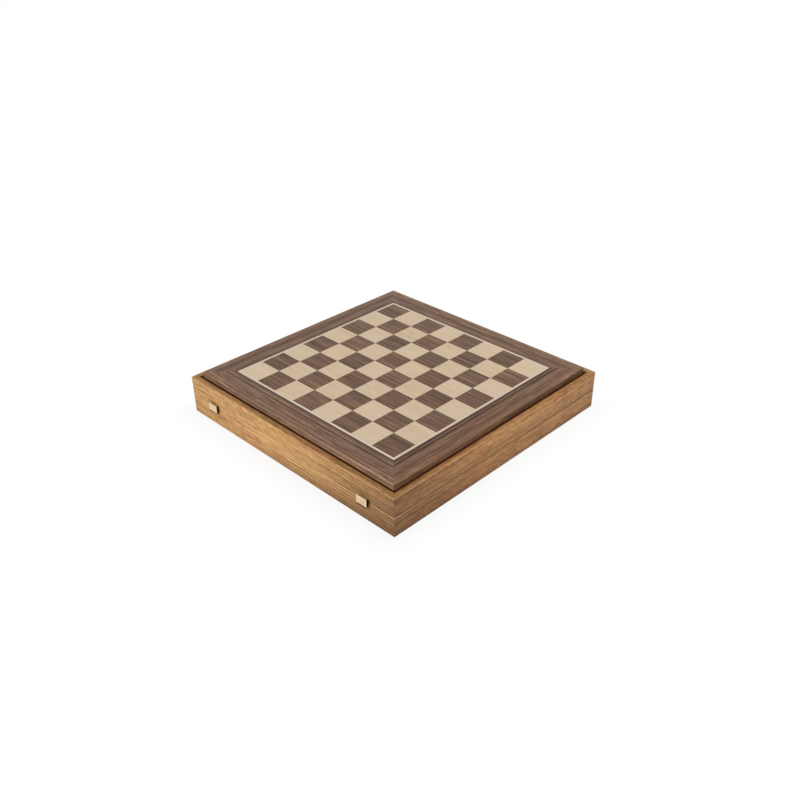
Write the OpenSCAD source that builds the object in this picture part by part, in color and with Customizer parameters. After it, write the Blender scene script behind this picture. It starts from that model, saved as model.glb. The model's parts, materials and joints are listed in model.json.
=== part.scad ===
// Square wooden chess box. Its two shallow halves are joined by a pair of stop hinges along
// the back and held shut by two snap latches on the front. A framed and inlaid chess board
// rests, loose, in a recess on top of the lid. Lengths are in millimetres and +Z is up. The origin is the centre of the underside, the latches face -Y, the hinges +Y.

/* [Board] */
// Side of one square of the playing field
square = 40; // [30:0.5:55]
// Width of the light line that runs round the field
line_w = 4; // [2:0.5:6]
// Width of each rail of the border
rail_w = 36; // [26:1:50]
// Thickness of the board without its felt
board_t = 14.5; // [13:0.5:20]
// Thickness of the inlaid squares and line
inlay_t = 1; // [0.6:0.1:2]
// Thickness of the tongue round the core
tongue_t = 5; // [3:0.5:7]
// Length of the tongue into the rails
tongue_l = 6; // [3:0.5:10]
// Bevel along the edges of the rails
rail_bevel = 0.7; // [0.4:0.1:2]

/* [Box] */
// Height of the lower half
base_h = 29; // [26:0.1:60]
// Height of the upper half
lid_h = 30.3; // [26:0.1:45]
// Thickness of the walls
wall_t = 9; // [8:0.5:14]
// Bevel along the edges of the walls
wall_bevel = 0.5; // [0.3:0.1:1.5]
// Thickness of the bottom panel
bottom_t = 4; // [3:0.5:6]
// Width of the rebate that holds the bottom panel
rebate_w = 4.5; // [3:0.5:6]
// Thickness of the panel that carries the board
panel_t = 4; // [3:0.5:6]
// Depth of the groove that holds this panel
groove_d = 4; // [2:0.5:6]
// Depth of the recess in which the board rests
recess_d = 7.6; // [5:0.1:12]
// Thickness of the felt linings
felt_t = 0.8; // [0.5:0.1:1.5]

/* [Dividers] */
// Thickness of the dividers
divider_t = 4; // [3:0.5:6]
// Clear width of the tray between the two long dividers
tray_w = 99; // [60:1:140]
// Compartments along each side of the tray
cells = 4; // [2:1:6]
// Depth of the housings cut for the dividers
housing_d = 1.5; // [0.5:0.1:2]
// Distance from the top of the dividers up to the seam
divider_drop = 1; // [0.5:0.1:4]
// Width of the finger scoop in each short divider
scoop_w = 70; // [40:1:90]
// Depth of the finger scoop
scoop_d = 9; // [4:0.5:12]

/* [Hinges] */
// Length of a hinge
hinge_l = 50; // [36:1:80]
// Diameter of the barrel
barrel_d = 5; // [4.4:0.1:7]
// Diameter of the hinge pin
pin_d = 2.4; // [1.6:0.1:3]
// Width of a leaf, measured in from the back of the box
leaf_w = 7.5; // [6:0.5:8]
// Thickness of a leaf
leaf_t = 1.5; // [1:0.1:1.8]
// Thickness of the ledge that stops the lid
ledge_t = 1.6; // [1:0.1:2.5]
// Angle at which the lid comes to its stop
stop_angle = 100; // [92:1:112]
// Screws in one leaf
leaf_screws = 3; // [2:1:4]

/* [Latches] */
// Distance from the side of the box in to the middle of each latch
latch_inset = 54.5; // [30:0.5:110]
// Width of the lever
lever_w = 19; // [17:0.5:26]
// Height of the lever
lever_h = 14; // [13.5:0.1:18]
// How far the lever stands out from the box
lever_proud = 4; // [3.8:0.1:5.5]
// Thickness of the lever's face
lever_t = 1.2; // [0.9:0.1:1.4]
// Thickness of the lever's two cheeks
cheek_t = 1.2; // [0.8:0.1:1.4]
// Thickness of the plates screwed to the box and the lid
plate_t = 1; // [0.8:0.1:1.2]
// Diameter of the lever's barrel and of the ears
ear_d = 1.8; // [1.6:0.1:2]
// Thickness of the ears
ear_t = 1.2; // [0.8:0.1:2]
// Diameter of the lever's pin
lever_pin_d = 0.9; // [0.7:0.1:1]
// Diameter of the bead on the strike
bead_d = 1.8; // [1.4:0.1:2]

/* [Screws] */
// Shank diameter of the hinge screws
hinge_screw_d = 2; // [1.6:0.1:2.4]
// Length of the hinge screws
hinge_screw_l = 12; // [8:0.5:14]
// Shank diameter of the latch screws
latch_screw_d = 1.3; // [1:0.1:1.5]
// Length of the latch screws
latch_screw_l = 6; // [4:0.5:7.5]

/* [Clearances] */
// Gap between the board and the walls of its recess, on each side
board_gap = 4; // [1:0.1:6]
// Gap at the seam between the halves
seam_gap = 0.4; // [0.2:0.1:0.8]
// Gap under the felt of the loose board
seat_gap = 0.3; // [0.2:0.05:0.5]
// Gap between pieces that turn past each other
turn_gap = 0.3; // [0.2:0.05:0.4]
// Gap between the box and the top edge of a lever that is swung up
swing_gap = 0.4; // [0.2:0.05:0.6]
// Gap between neighbouring knuckles of a hinge
knuckle_gap = 0.2; // [0.1:0.05:0.4]
// Gap left at the ledge when the lid is fully open
stop_gap = 0.15; // [0.1:0.05:0.3]
// Radial clearance of a bore that turns on a pin
running_fit = 0.05; // [0.03:0.01:0.08]
// Radial clearance of a bore that holds a pin or a screw
tight_fit = 0.02; // [0.01:0.01:0.03]
// Gap round a panel, divider or leaf in its groove
joinery_fit = 0.05; // [0.03:0.01:0.2]

/* [Hidden] */
$fn = 48;
field_squares = 8;
knuckles = 5;
slot_w_share = 0.22;
// Extra length of a cut that goes right through
overcut = 1;
dark_wood = "#5e4537";
light_wood = "#d8c4a4";
box_wood = "#b3834f";
panel_wood = "#c9a877";
felt_green = "#2f4a38";
brass = "#c9a24e";

field_w = field_squares * square;
inlaid_w = field_w + 2 * line_w;
board_w = inlaid_w + 2 * rail_w;
inner_w = board_w + 2 * board_gap;
box_w = inner_w + 2 * wall_t;

lid_z = base_h + seam_gap;
seam_z = base_h + seam_gap / 2;
rim_z = lid_z + lid_h;
recess_z = rim_z - recess_d;
panel_z = recess_z - panel_t;
floor_z = bottom_t + felt_t;
divider_z = base_h - divider_drop;

board_z = recess_z + seat_gap + felt_t;
board_top_z = board_z + board_t;
inlay_z = board_top_z - inlay_t;
tongue_z = board_z + (board_t - tongue_t) / 2;
board_felt_inset = 6;

long_divider_y = tray_w / 2 + divider_t / 2;
cell_pitch = (inner_w + divider_t) / cells;
cell_depth = inner_w / 2 - tray_w / 2 - divider_t;

barrel_r = barrel_d / 2;
hinge_out = barrel_r + turn_gap;
// Each hinge stands behind the middle of the last compartment, clear of the dividers' housings.
hinge_x = inner_w / 2 - (cell_pitch - divider_t) / 2;
hinge_y = box_w / 2 + hinge_out;
knuckle_l = hinge_l / knuckles;
pin_head_t = 0.9;
pin_head_r = 0.8 * barrel_r;
hinge_screw_head_d = 2 * hinge_screw_d;

latch_x = box_w / 2 - latch_inset;
lever_in = lever_proud - lever_t;
pivot_out = lever_in - turn_gap - ear_d / 2;
pivot_drop = pivot_out - swing_gap;
pivot_up = lever_h / 2 - pivot_drop;
cheek_in = 0.8;
cheek_room = 0.5;
lever_corner_r = 1.2;
plate_w = lever_w - 2 * (cheek_t + turn_gap + cheek_room);
plate_margin = 0.6;
plate_edge = seam_gap / 2 + plate_margin;
barrel_l = plate_w - 2 * ear_t - 2 * turn_gap;
strike_h = lever_h / 2 - plate_edge - plate_margin;
bead_margin = 0.3;
bead_down = plate_edge + strike_h - bead_d / 2 - bead_margin;
bead_end = 1.5;
bead_l = plate_w - 2 * bead_end;
latch_screw_head_d = 1.9 * latch_screw_d;
screw_margin = 0.25;
plate_screw_up = plate_edge + screw_margin + latch_screw_head_d / 2;
latch_screw_x = plate_w / 4;

// ---- Mitred frames: the box's halves, the board's border and its line ----

// Plan of the front piece of a square frame, mitred at both ends and bevelled at the corners.
function mitred_plan(outer, width, bevel) = let (half = outer / 2) [
    [-half + bevel, -half], [half - bevel, -half], [half - bevel / 2, -half + bevel / 2],
    [half - width, -half + width], [-half + width, -half + width],
    [-half + bevel / 2, -half + bevel / 2],
];

// Front piece of a square frame, with the cross-section given as [y, z] points.
module mitred_piece(outer, width, bevel, z_low, z_high, section) {
    intersection() {
        translate([0, 0, z_low])
            linear_extrude(z_high - z_low) polygon(mitred_plan(outer, width, bevel));
        rotate([90, 0, 90]) linear_extrude(outer, center = true) polygon(section);
    }
}

// Turns the front piece of a frame to another side: 0 front, 1 right, 2 back, 3 left.
module side(number) {
    rotate([0, 0, 90 * number]) children();
}

module box_between(low, high) {
    translate(low) cube(high - low);
}

module along_x(x_low, length, radius) {
    translate([x_low, 0, 0]) rotate([0, 90, 0]) cylinder(h = length, r = radius);
}

// Wood screw that points down from its flat head, with the top of the head at the origin.
module wood_screw(shank_d, head_d, length) {
    head_h = (head_d - shank_d) / 2;
    tip_h = shank_d;
    difference() {
        union() {
            translate([0, 0, -head_h]) cylinder(h = head_h, d1 = shank_d, d2 = head_d);
            translate([0, 0, -length + tip_h]) cylinder(h = length - tip_h, d = shank_d);
            translate([0, 0, -length]) cylinder(h = tip_h, d1 = shank_d / 4, d2 = shank_d);
        }
        cube([2 * head_d, slot_w_share * head_d, head_h], center = true);
    }
}

// Hole for such a screw: a countersink through the metal, and the pilot hole in the wood.
module screw_hole(shank_d, head_d, length) {
    head_h = (head_d - shank_d) / 2;
    translate([0, 0, -head_h])
        cylinder(h = head_h, d1 = shank_d + 2 * tight_fit, d2 = head_d + 2 * tight_fit);
    translate([0, 0, -length - tight_fit]) cylinder(h = length, d = shank_d + 2 * tight_fit);
}

// ---- Lower half ----

function base_section(bevel) = let (out = -box_w / 2, in = out + wall_t) [
    [out + bevel, 0], [in - rebate_w, 0], [in - rebate_w, bottom_t], [in, bottom_t],
    [in, base_h - bevel / 2], [in - bevel / 2, base_h], [out + bevel, base_h],
    [out, base_h - bevel], [out, bevel],
];

module base_wall() {
    mitred_piece(box_w, wall_t, wall_bevel, 0, base_h, base_section(wall_bevel));
}

// Housings in a wall of the base for the ends of the dividers at the given places.
module divider_housings(places) {
    for (x = places)
        box_between([x - divider_t / 2 - joinery_fit, -inner_w / 2 - housing_d - joinery_fit, floor_z],
                    [x + divider_t / 2 + joinery_fit, -inner_w / 2 + wall_t, divider_z + joinery_fit]);
}

cell_lines = [for (k = [1 : cells - 1]) -inner_w / 2 - divider_t / 2 + k * cell_pitch];
tray_lines = [-long_divider_y, long_divider_y];

module base_front_wall() {
    color(box_wood) difference() {
        base_wall();
        divider_housings(cell_lines);
        at_latches() strike_screw_places() latch_screw_hole();
    }
}

module base_right_wall() {
    color(box_wood) side(1) difference() {
        base_wall();
        divider_housings(tray_lines);
    }
}

module base_back_wall() {
    color(box_wood) difference() {
        side(2) difference() {
            base_wall();
            divider_housings(cell_lines);
        }
        at_hinges() {
            leaf_mortise(-1);
            base_screw_places() hinge_screw_hole();
        }
    }
}

module base_left_wall() {
    color(box_wood) side(3) difference() {
        base_wall();
        divider_housings(tray_lines);
    }
}

module base_bottom_panel() {
    half = inner_w / 2 + rebate_w - joinery_fit;
    color(panel_wood) box_between([-half, -half, 0], [half, half, bottom_t]);
}

module base_floor_felt() {
    half = inner_w / 2 - joinery_fit;
    color(felt_green) box_between([-half, -half, bottom_t], [half, half, floor_z]);
}

// Divider that runs from side to side along the tray, housed for the short dividers.
module long_divider() {
    half_l = inner_w / 2 + housing_d;
    color(box_wood) difference() {
        box_between([-half_l, -long_divider_y - divider_t / 2, floor_z],
                    [half_l, -long_divider_y + divider_t / 2, divider_z]);
        for (x = cell_lines)
            box_between([x - divider_t / 2 - joinery_fit, -long_divider_y - divider_t,
                         floor_z - overcut],
                        [x + divider_t / 2 + joinery_fit,
                         -long_divider_y - divider_t / 2 + housing_d, divider_z + overcut]);
    }
}

module long_divider_front() {
    long_divider();
}

module long_divider_back() {
    side(2) long_divider();
}

// Short dividers between the front wall and the tray, each with a round finger scoop.
module short_dividers() {
    y_low = -inner_w / 2 - housing_d;
    y_high = -long_divider_y - divider_t / 2 + housing_d - joinery_fit;
    scoop_r = (scoop_w * scoop_w / 4 + scoop_d * scoop_d) / (2 * scoop_d);
    color(box_wood) for (x = cell_lines) difference() {
        box_between([x - divider_t / 2, y_low, floor_z], [x + divider_t / 2, y_high, divider_z]);
        translate([0, -inner_w / 2 + cell_depth / 2, divider_z - scoop_d + scoop_r])
            along_x(x - divider_t, 2 * divider_t, scoop_r);
    }
}

module short_dividers_front() {
    short_dividers();
}

module short_dividers_back() {
    side(2) short_dividers();
}

// ---- Upper half ----

function lid_section(bevel) = let (out = -box_w / 2, in = out + wall_t, deep = in - groove_d) [
    [out + bevel, lid_z], [in - bevel / 2, lid_z], [in, lid_z + bevel / 2],
    [in, panel_z], [deep, panel_z], [deep, recess_z], [in, recess_z],
    [in, rim_z - bevel / 2], [in - bevel / 2, rim_z], [out + bevel, rim_z],
    [out, rim_z - bevel], [out, lid_z + bevel],
];

module lid_wall() {
    mitred_piece(box_w, wall_t, wall_bevel, lid_z, rim_z, lid_section(wall_bevel));
}

module lid_front_wall() {
    color(box_wood) difference() {
        lid_wall();
        at_latches() plate_screw_places() latch_screw_hole();
    }
}

module lid_right_wall() {
    color(box_wood) side(1) lid_wall();
}

module lid_back_wall() {
    color(box_wood) difference() {
        side(2) lid_wall();
        at_hinges() {
            leaf_mortise(1);
            lid_screw_places() hinge_screw_hole();
        }
    }
}

module lid_left_wall() {
    color(box_wood) side(3) lid_wall();
}

module lid_panel() {
    half = inner_w / 2 + groove_d - joinery_fit;
    color(panel_wood) box_between([-half, -half, panel_z], [half, half, recess_z]);
}

module lid_felt() {
    half = inner_w / 2 - joinery_fit;
    color(felt_green) box_between([-half, -half, panel_z - felt_t], [half, half, panel_z]);
}

// ---- Board ----

function rail_section(bevel) =
    let (out = -board_w / 2, in = out + rail_w, deep = in - tongue_l - joinery_fit) [
    [out + bevel, board_z], [in, board_z], [in, tongue_z], [deep, tongue_z],
    [deep, tongue_z + tongue_t], [in, tongue_z + tongue_t], [in, board_top_z],
    [out + bevel, board_top_z], [out, board_top_z - bevel], [out, board_z + bevel],
];

module board_rail() {
    color(dark_wood)
        mitred_piece(board_w, rail_w, rail_bevel, board_z, board_top_z, rail_section(rail_bevel));
}

module board_front_rail() {
    board_rail();
}

module board_right_rail() {
    side(1) board_rail();
}

module board_back_rail() {
    side(2) board_rail();
}

module board_left_rail() {
    side(3) board_rail();
}

module board_core() {
    half = inlaid_w / 2;
    color(panel_wood) {
        box_between([-half, -half, board_z], [half, half, inlay_z]);
        box_between([-half - tongue_l, -half - tongue_l, tongue_z],
                    [half + tongue_l, half + tongue_l, tongue_z + tongue_t]);
    }
}

module board_line() {
    out = -inlaid_w / 2;
    section = [[out, inlay_z], [out + line_w, inlay_z], [out + line_w, board_top_z], [out, board_top_z]];
    color(light_wood) for (number = [0 : 3])
        side(number) mitred_piece(inlaid_w, line_w, 0, inlay_z, board_top_z, section);
}

// Squares of one colour. The square at the front right corner belongs to the dark ones.
module board_squares(parity) {
    for (column = [0 : field_squares - 1], row = [0 : field_squares - 1])
        if ((column + row) % 2 == parity)
            translate([-field_w / 2 + column * square, -field_w / 2 + row * square, inlay_z])
                cube([square, square, inlay_t]);
}

module board_light_squares() {
    color(light_wood) board_squares(0);
}

module board_dark_squares() {
    color(dark_wood) board_squares(1);
}

module board_felt() {
    half = board_w / 2 - board_felt_inset;
    color(felt_green)
        box_between([-half, -half, recess_z + seat_gap], [half, half, board_z]);
}

// ---- Hinges: drawn about their own axis, with +Y away from the box ----

module at_hinge(hand) {
    translate([hand * hinge_x, hinge_y, seam_z]) children();
}

module at_hinges() {
    for (hand = [-1, 1]) at_hinge(hand) children();
}

// Sunk place for a leaf: level -1 in the base, 1 in the lid.
module leaf_mortise(level) {
    half_l = hinge_l / 2 + joinery_fit;
    near = seam_gap / 2;
    far = near + leaf_t;
    z_low = level < 0 ? -far : near - overcut;
    z_high = level < 0 ? -near + overcut : far;
    box_between([-half_l, -hinge_out - leaf_w - joinery_fit, z_low], [half_l, 0, z_high]);
}

// Flat part of a leaf, which stops at the back of the box.
module leaf_plate(level) {
    near = seam_gap / 2;
    far = near + leaf_t;
    box_between([-hinge_l / 2, -hinge_out - leaf_w, level < 0 ? -far : near],
                [hinge_l / 2, -hinge_out, level < 0 ? -near : far]);
}

function knuckle_low(k) = -hinge_l / 2 + k * knuckle_l + (k == 0 ? 0 : knuckle_gap / 2);
function knuckle_high(k) = -hinge_l / 2 + (k + 1) * knuckle_l - (k == knuckles - 1 ? 0 : knuckle_gap / 2);

module barrel_bore(fit) {
    along_x(-hinge_l, 2 * hinge_l, pin_d / 2 + fit);
}

module leaf_screw_positions() {
    for (k = [0 : leaf_screws - 1])
        translate([hinge_l * ((k + 0.5) / leaf_screws - 0.5), -hinge_out - leaf_w / 2, 0]) children();
}

module base_screw_places() {
    leaf_screw_positions() translate([0, 0, -seam_gap / 2]) children();
}

module lid_screw_places() {
    leaf_screw_positions() translate([0, 0, seam_gap / 2]) mirror([0, 0, 1]) children();
}

module hinge_screw_hole() {
    screw_hole(hinge_screw_d, hinge_screw_head_d, hinge_screw_l);
}

// Leaf of the base. Its knuckles stand on a ledge that runs the whole length of the hinge.
module base_leaf() {
    ledge_top = -barrel_r - stop_gap;
    color(brass) difference() {
        union() {
            leaf_plate(-1);
            for (k = [0 : 2 : knuckles - 1]) {
                along_x(knuckle_low(k), knuckle_high(k) - knuckle_low(k), barrel_r);
                box_between([knuckle_low(k), -hinge_out, ledge_top - ledge_t / 2],
                            [knuckle_high(k), 0, -seam_gap / 2]);
                box_between([knuckle_low(k), -hinge_out / 2, ledge_top - ledge_t / 2],
                            [knuckle_high(k), barrel_r, 0]);
            }
            box_between([-hinge_l / 2, -hinge_out, ledge_top - ledge_t], [hinge_l / 2, barrel_r, ledge_top]);
        }
        barrel_bore(tight_fit);
        base_screw_places() hinge_screw_hole();
    }
}

// Cross-section of a lid knuckle's heel. Its outer face lies flat on the ledge at the stop angle.
function heel_section() = let (lean = stop_angle - 90) [
    [0, 0], [barrel_r * cos(lean), barrel_r * sin(lean)],
    [barrel_r * (1 - sin(lean)) / cos(lean), barrel_r], [0, barrel_r],
];

module lid_leaf() {
    color(brass) difference() {
        union() {
            leaf_plate(1);
            for (k = [1 : 2 : knuckles - 1]) {
                length = knuckle_high(k) - knuckle_low(k);
                along_x(knuckle_low(k), length, barrel_r);
                box_between([knuckle_low(k), -hinge_out, seam_gap / 2],
                            [knuckle_high(k), 0, seam_gap / 2 + leaf_t]);
                translate([knuckle_low(k), 0, 0])
                    rotate([90, 0, 90]) linear_extrude(length) polygon(heel_section());
            }
        }
        barrel_bore(running_fit);
        lid_screw_places() hinge_screw_hole();
    }
}

// Pin with a rounded head beyond each end of the barrel.
module hinge_pin() {
    color(brass) {
        along_x(-hinge_l / 2, hinge_l, pin_d / 2);
        for (end = [0, 1]) mirror([end, 0, 0]) translate([hinge_l / 2, 0, 0]) rotate([0, 90, 0])
            rotate_extrude() difference() {
                scale([pin_head_r, pin_head_t]) circle(1);
                translate([-2 * pin_head_r, -pin_head_t]) square([2 * pin_head_r, 2 * pin_head_t]);
                translate([-pin_head_r, -2 * pin_head_t]) square([3 * pin_head_r, 2 * pin_head_t]);
            }
    }
}

module hinge_base_leaf_left() {
    at_hinge(-1) base_leaf();
}

module hinge_base_leaf_right() {
    at_hinge(1) base_leaf();
}

module hinge_lid_leaf_left() {
    at_hinge(-1) lid_leaf();
}

module hinge_lid_leaf_right() {
    at_hinge(1) lid_leaf();
}

module hinge_pin_left() {
    at_hinge(-1) hinge_pin();
}

module hinge_pin_right() {
    at_hinge(1) hinge_pin();
}

module hinge_screw() {
    color(brass) wood_screw(hinge_screw_d, hinge_screw_head_d, hinge_screw_l);
}

module hinge_base_screws() {
    at_hinges() base_screw_places() hinge_screw();
}

module hinge_lid_screws() {
    at_hinges() lid_screw_places() hinge_screw();
}

// ---- Latches: drawn on the face of the box at the seam, with +Y away from the box ----

module at_latch(hand) {
    translate([hand * latch_x, -box_w / 2, seam_z]) rotate([0, 0, 180]) children();
}

module at_latches() {
    for (hand = [-1, 1]) at_latch(hand) children();
}

module latch_screws_at(z) {
    for (x = [-latch_screw_x, latch_screw_x])
        translate([x, plate_t, z]) rotate([-90, 0, 0]) children();
}

module plate_screw_places() {
    latch_screws_at(plate_screw_up) children();
}

module strike_screw_places() {
    latch_screws_at(-plate_screw_up) children();
}

module latch_screw_hole() {
    screw_hole(latch_screw_d, latch_screw_head_d, latch_screw_l);
}

// Plate on the lid, with the two ears that hold the lever's pin.
module latch_plate() {
    ear_x = plate_w / 2 - ear_t;
    color(brass) difference() {
        union() {
            box_between([-plate_w / 2, 0, plate_edge], [plate_w / 2, plate_t, pivot_up + ear_d / 2]);
            for (x = [-plate_w / 2, ear_x]) {
                translate([0, pivot_out, pivot_up]) along_x(x, ear_t, ear_d / 2);
                box_between([x, plate_t / 2, pivot_up - ear_d / 2],
                            [x + ear_t, pivot_out, pivot_up + ear_d / 2]);
            }
        }
        translate([0, pivot_out, pivot_up]) along_x(-plate_w, 2 * plate_w, lever_pin_d / 2 + tight_fit);
        plate_screw_places() latch_screw_hole();
        // Room for the lever's barrel to turn in front of the plate.
        translate([0, pivot_out, pivot_up]) along_x(-ear_x, 2 * ear_x, ear_d / 2 + turn_gap);
    }
}

module latch_pin() {
    color(brass) translate([0, pivot_out, pivot_up]) along_x(-plate_w / 2, plate_w, lever_pin_d / 2);
}

// Outline of the lever's face, with round corners.
module lever_face() {
    straight = [lever_w - 2 * lever_corner_r, lever_h - 2 * lever_corner_r];
    square([straight.x, lever_h], center = true);
    square([lever_w, straight.y], center = true);
    for (x = [-1, 1], z = [-1, 1])
        translate([x * straight.x / 2, z * straight.y / 2]) circle(lever_corner_r);
}

// Lever: a square face with a cheek at each side, turning on a barrel near its top.
module latch_lever() {
    color(brass) difference() {
        union() {
            translate([0, lever_proud, 0]) rotate([90, 0, 0]) linear_extrude(lever_t) lever_face();
            for (x = [-lever_w / 2, lever_w / 2 - cheek_t])
                box_between([x, cheek_in, -lever_h / 2 + lever_corner_r],
                            [x + cheek_t, lever_in + lever_t / 2, lever_h / 2 - lever_corner_r]);
            translate([0, pivot_out, pivot_up]) along_x(-barrel_l / 2, barrel_l, ear_d / 2);
            box_between([-barrel_l / 2, pivot_out, pivot_up - ear_d / 2],
                        [barrel_l / 2, lever_in + lever_t / 2, pivot_up]);
        }
        translate([0, pivot_out, pivot_up])
            along_x(-barrel_l, 2 * barrel_l, lever_pin_d / 2 + running_fit);
    }
}

// Strike on the base, with the bead over which the lever's face snaps.
module latch_strike() {
    bead_out = lever_in - turn_gap - bead_d / 2;
    color(brass) difference() {
        union() {
            box_between([-plate_w / 2, 0, -plate_edge - strike_h], [plate_w / 2, plate_t, -plate_edge]);
            translate([0, bead_out, -bead_down]) along_x(-bead_l / 2, bead_l, bead_d / 2);
            box_between([-bead_l / 2, plate_t / 2, -bead_down - bead_d / 2],
                        [bead_l / 2, bead_out, -bead_down + bead_d / 2]);
        }
        strike_screw_places() latch_screw_hole();
    }
}

module latch_plate_left() {
    at_latch(-1) latch_plate();
}

module latch_plate_right() {
    at_latch(1) latch_plate();
}

module latch_pin_left() {
    at_latch(-1) latch_pin();
}

module latch_pin_right() {
    at_latch(1) latch_pin();
}

module latch_lever_left() {
    at_latch(-1) latch_lever();
}

module latch_lever_right() {
    at_latch(1) latch_lever();
}

module latch_strike_left() {
    at_latch(-1) latch_strike();
}

module latch_strike_right() {
    at_latch(1) latch_strike();
}

module latch_screw() {
    color(brass) wood_screw(latch_screw_d, latch_screw_head_d, latch_screw_l);
}

module latch_plate_screws() {
    at_latches() plate_screw_places() latch_screw();
}

module latch_strike_screws() {
    at_latches() strike_screw_places() latch_screw();
}

base_front_wall();
base_right_wall();
base_back_wall();
base_left_wall();
base_bottom_panel();
base_floor_felt();
long_divider_front();
long_divider_back();
short_dividers_front();
short_dividers_back();
lid_front_wall();
lid_right_wall();
lid_back_wall();
lid_left_wall();
lid_panel();
lid_felt();
board_core();
board_front_rail();
board_right_rail();
board_back_rail();
board_left_rail();
board_line();
board_light_squares();
board_dark_squares();
board_felt();
hinge_base_leaf_left();
hinge_base_leaf_right();
hinge_lid_leaf_left();
hinge_lid_leaf_right();
hinge_pin_left();
hinge_pin_right();
hinge_base_screws();
hinge_lid_screws();
latch_plate_left();
latch_plate_right();
latch_pin_left();
latch_pin_right();
latch_lever_left();
latch_lever_right();
latch_strike_left();
latch_strike_right();
latch_plate_screws();
latch_strike_screws();
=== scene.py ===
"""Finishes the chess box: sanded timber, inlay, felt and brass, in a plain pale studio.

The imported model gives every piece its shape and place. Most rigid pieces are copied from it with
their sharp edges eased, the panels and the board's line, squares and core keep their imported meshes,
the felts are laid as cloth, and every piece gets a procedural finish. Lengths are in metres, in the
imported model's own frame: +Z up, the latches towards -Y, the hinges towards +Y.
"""
import json
import logging
import math
from dataclasses import dataclass, field
from enum import Enum
from functools import reduce

import bmesh
import bpy
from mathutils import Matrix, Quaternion, Vector, noise


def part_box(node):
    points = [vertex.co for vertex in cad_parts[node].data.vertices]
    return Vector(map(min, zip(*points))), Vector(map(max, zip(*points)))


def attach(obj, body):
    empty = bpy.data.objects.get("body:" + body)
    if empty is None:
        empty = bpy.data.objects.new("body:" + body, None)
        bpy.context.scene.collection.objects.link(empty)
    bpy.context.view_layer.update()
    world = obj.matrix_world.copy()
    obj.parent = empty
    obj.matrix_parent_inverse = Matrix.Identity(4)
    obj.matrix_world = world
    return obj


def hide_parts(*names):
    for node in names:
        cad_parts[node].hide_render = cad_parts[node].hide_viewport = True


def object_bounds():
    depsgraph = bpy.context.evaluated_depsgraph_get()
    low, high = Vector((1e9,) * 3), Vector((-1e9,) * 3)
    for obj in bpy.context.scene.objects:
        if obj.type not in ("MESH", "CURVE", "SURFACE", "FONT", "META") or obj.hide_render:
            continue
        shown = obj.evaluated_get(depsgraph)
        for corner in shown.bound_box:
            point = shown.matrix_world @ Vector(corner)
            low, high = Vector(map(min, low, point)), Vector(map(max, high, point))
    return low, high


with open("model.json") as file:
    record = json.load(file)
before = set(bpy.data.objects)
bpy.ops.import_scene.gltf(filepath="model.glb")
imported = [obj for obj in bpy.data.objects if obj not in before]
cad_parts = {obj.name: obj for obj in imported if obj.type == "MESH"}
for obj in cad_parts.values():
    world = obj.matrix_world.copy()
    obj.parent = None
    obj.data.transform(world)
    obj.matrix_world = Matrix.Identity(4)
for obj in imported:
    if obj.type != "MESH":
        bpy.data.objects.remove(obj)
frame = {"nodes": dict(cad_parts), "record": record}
CAD_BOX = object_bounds()

MM = 0.001
LOG = logging.getLogger("chess_box")

Socket = bpy.types.NodeSocket
Colour = tuple[float, float, float]
ScreenColour = tuple[int, int, int]
Stops = dict[float, float]

# A line of stops that changes nothing, and the highest number that such a line may hold
EVEN: Stops = {-200: 1, 200: 1}
TOP_NUMBER = 2.0
SQUARE = 40 * MM
NEAR_CORNER = (0.213, -0.213, 0.03)


def linear(colour: ScreenColour) -> Colour:
    """Turns a colour on the screen's scale into the light values that a shader takes.

    Args:
        colour: Red, green and blue, each from 0 to 255.

    Returns:
        The three linear values, each from 0 to 1.
    """
    shares = (value / 255 for value in colour)
    red, green, blue = (s / 12.92 if s <= 0.04045 else ((s + 0.055) / 1.055) ** 2.4 for s in shares)
    return red, green, blue


def add_object(name: str, data: bpy.types.ID) -> bpy.types.Object:
    """Puts a new object in the scene.

    Args:
        name: Its name.
        data: Its mesh, lamp or camera data.

    Returns:
        The object.
    """
    made = bpy.data.objects.new(name, data)
    bpy.context.scene.collection.objects.link(made)
    return made


def mesh_from(shape: bmesh.types.BMesh, name: str) -> bpy.types.Mesh:
    """Turns a finished shape into a mesh, and frees the shape.

    Args:
        shape: The shape.
        name: The mesh's name.

    Returns:
        The mesh.
    """
    mesh = bpy.data.meshes.new(name)
    shape.to_mesh(mesh)
    shape.free()
    return mesh


class Side(Enum):
    """Sides of a square frame, by the quarter turns that bring the front piece there."""

    FRONT = 0
    RIGHT = 1
    BACK = 2
    LEFT = 3

    @property
    def word(self) -> str:
        """The side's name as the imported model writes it."""
        return self.name.lower()


class Lie(Enum):
    """Which faces of a piece carry the lines of its leaf of veneer."""

    UPRIGHT = 0
    FLAT = 1
    RING = 2


# ---- Shader building ----


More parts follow.
